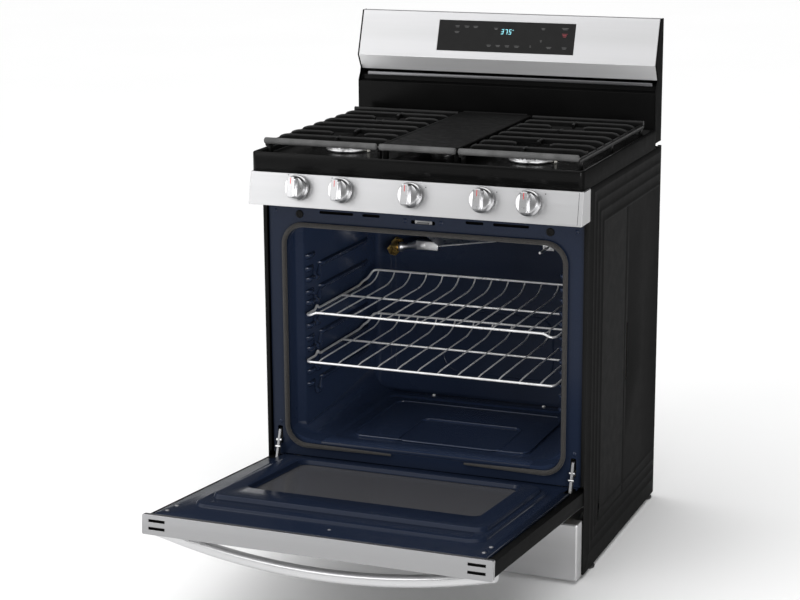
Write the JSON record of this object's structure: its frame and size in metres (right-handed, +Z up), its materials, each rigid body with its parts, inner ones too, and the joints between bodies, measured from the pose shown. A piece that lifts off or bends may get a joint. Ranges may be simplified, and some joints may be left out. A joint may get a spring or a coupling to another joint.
{
  "type": "freestanding gas range",
  "caption": "Freestanding gas range with an open drop-down oven door, wire racks, cast-iron grates and griddle, burner knobs, storage drawer and a backguard with a touch display.",
  "frame": {"origin": "on the floor, at the middle of the footprint of the whole range with its oven door open", "axes": "+Z up, the range faces -Y, +X to the right as seen from the front"},
  "size_m": [0.764, 1.2109, 1.1685],
  "materials": {
    "stainless": "vertical-grain brushed stainless steel, satin",
    "black_enamel": "gloss black porcelain enamel",
    "satin_black": "satin black baked enamel with pressed ribs",
    "zinc": "zinc-plated steel, dull",
    "navy_enamel": "gloss navy porcelain enamel with fine speckle",
    "gasket": "braided glass-fibre tube seal, grey-brown",
    "blanket": "loose glass-fibre blanket",
    "chrome": "polished nickel-chrome wire",
    "cast_iron": "matte black enamelled cast iron, slightly grainy",
    "alloy": "die-cast aluminium, satin",
    "brass": "machined brass",
    "nylon": "black moulded nylon",
    "display_glass": "gloss black touch glass",
    "door_glass": "tinted heat-reflecting oven glass"
  },
  "bodies": {
    "range_body": {"backguard_fascia": "stainless", "backguard_housing": "black_enamel", "bake_burner": "zinc", "base_frame": "zinc", "broil_burner": "alloy", "broil_gas_elbow": "brass", "burner_base_center": "alloy", "burner_base_front_left": "alloy", "burner_base_front_right": "alloy", "burner_base_rear_left": "alloy", "burner_base_rear_right": "alloy", "burner_cap_center": "cast_iron", "burner_cap_front_left": "cast_iron", "burner_cap_front_right": "cast_iron", "burner_cap_rear_left": "cast_iron", "burner_cap_rear_right": "cast_iron", "control_panel": "stainless", "cooktop": "black_enamel", "display_panel": "display_glass", "door_gasket": "gasket", "front_frame": "navy_enamel", "gas_manifold": "zinc", "hinge_arm_left": "chrome", "hinge_arm_right": "chrome", "leveling_leg_front_left": "nylon", "leveling_leg_front_right": "nylon", "leveling_leg_rear_left": "nylon", "leveling_leg_rear_right": "nylon", "oven_base_shield": "zinc", "oven_floor": "navy_enamel", "oven_insulation": "blanket", "oven_liner": "navy_enamel", "pressure_regulator": "alloy", "rear_panel": "zinc", "side_panel_left": "satin_black", "side_panel_right": "satin_black", "temperature_probe": "chrome"},
    "oven_door": {"door_outer_panel": "stainless", "door_outer_glass": "door_glass", "door_liner": "navy_enamel", "door_inner_glass": "door_glass", "door_top_trim": "stainless", "door_handle": "stainless"},
    "storage_drawer": {"drawer_front": "stainless", "drawer_box": "zinc"},
    "upper_rack": {"oven_rack_upper": "chrome"},
    "lower_rack": {"oven_rack_lower": "chrome"},
    "left_grate": {"grate_left": "cast_iron"},
    "right_grate": {"grate_right": "cast_iron"},
    "center_griddle": {"griddle_plate": "cast_iron"},
    "stem_1": {"valve_stem_1": "zinc"},
    "knob_1": {"knob_1": "stainless"},
    "stem_2": {"valve_stem_2": "zinc"},
    "knob_2": {"knob_2": "stainless"},
    "stem_3": {"valve_stem_3": "zinc"},
    "knob_3": {"knob_3": "stainless"},
    "stem_4": {"valve_stem_4": "zinc"},
    "knob_4": {"knob_4": "stainless"},
    "stem_5": {"valve_stem_5": "zinc"},
    "knob_5": {"knob_5": "stainless"}
  },
  "joints": [
    {"name": "door_hinge", "type": "hinge", "parent": "range_body", "child": "oven_door", "pos_m": [0, -0.01, 0.201], "axis": [1, 0, 0], "range_deg": [-85, 0]},
    {"name": "drawer_slide", "type": "slide", "parent": "range_body", "child": "storage_drawer", "axis": [0, -1, 0], "range_m": [0, 0.38]},
    {"name": "upper_rack_slide", "type": "slide", "parent": "range_body", "child": "upper_rack", "axis": [0, -1, 0], "range_m": [0, 0.25]},
    {"name": "lower_rack_slide", "type": "slide", "parent": "range_body", "child": "lower_rack", "axis": [0, -1, 0], "range_m": [0, 0.25]},
    {"name": "left_grate_lift", "type": "slide", "parent": "range_body", "child": "left_grate", "axis": [0, 0, 1], "range_m": [0, 0.12]},
    {"name": "right_grate_lift", "type": "slide", "parent": "range_body", "child": "right_grate", "axis": [0, 0, 1], "range_m": [0, 0.12]},
    {"name": "griddle_lift", "type": "slide", "parent": "range_body", "child": "center_griddle", "axis": [0, 0, 1], "range_m": [0, 0.12]},
    {"name": "knob_1_push", "type": "slide", "parent": "range_body", "child": "stem_1", "axis": [0, 0.9787, -0.2053], "range_m": [0, 0.004], "stiffness_N_per_m": 2500, "springref_m": -0.002},
    {"name": "knob_1_turn", "type": "hinge", "parent": "stem_1", "child": "knob_1", "pos_m": [-0.265, -0.05519, 0.842], "axis": [0, -0.9787, 0.2053], "range_deg": [0, 210]},
    {"name": "knob_2_push", "type": "slide", "parent": "range_body", "child": "stem_2", "axis": [0, 0.9787, -0.2053], "range_m": [0, 0.004], "stiffness_N_per_m": 2500, "springref_m": -0.002},
    {"name": "knob_2_turn", "type": "hinge", "parent": "stem_2", "child": "knob_2", "pos_m": [-0.162, -0.05519, 0.842], "axis": [0, -0.9787, 0.2053], "range_deg": [0, 210]},
    {"name": "knob_3_push", "type": "slide", "parent": "range_body", "child": "stem_3", "axis": [0, 0.9787, -0.2053], "range_m": [0, 0.004], "stiffness_N_per_m": 2500, "springref_m": -0.002},
    {"name": "knob_3_turn", "type": "hinge", "parent": "stem_3", "child": "knob_3", "pos_m": [0, -0.05519, 0.842], "axis": [0, -0.9787, 0.2053], "range_deg": [0, 210]},
    {"name": "knob_4_push", "type": "slide", "parent": "range_body", "child": "stem_4", "axis": [0, 0.9787, -0.2053], "range_m": [0, 0.004], "stiffness_N_per_m": 2500, "springref_m": -0.002},
    {"name": "knob_4_turn", "type": "hinge", "parent": "stem_4", "child": "knob_4", "pos_m": [0.162, -0.05519, 0.842], "axis": [0, -0.9787, 0.2053], "range_deg": [0, 210]},
    {"name": "knob_5_push", "type": "slide", "parent": "range_body", "child": "stem_5", "axis": [0, 0.9787, -0.2053], "range_m": [0, 0.004], "stiffness_N_per_m": 2500, "springref_m": -0.002},
    {"name": "knob_5_turn", "type": "hinge", "parent": "stem_5", "child": "knob_5", "pos_m": [0.265, -0.05519, 0.842], "axis": [0, -0.9787, 0.2053], "range_deg": [0, 210]}
  ]
}
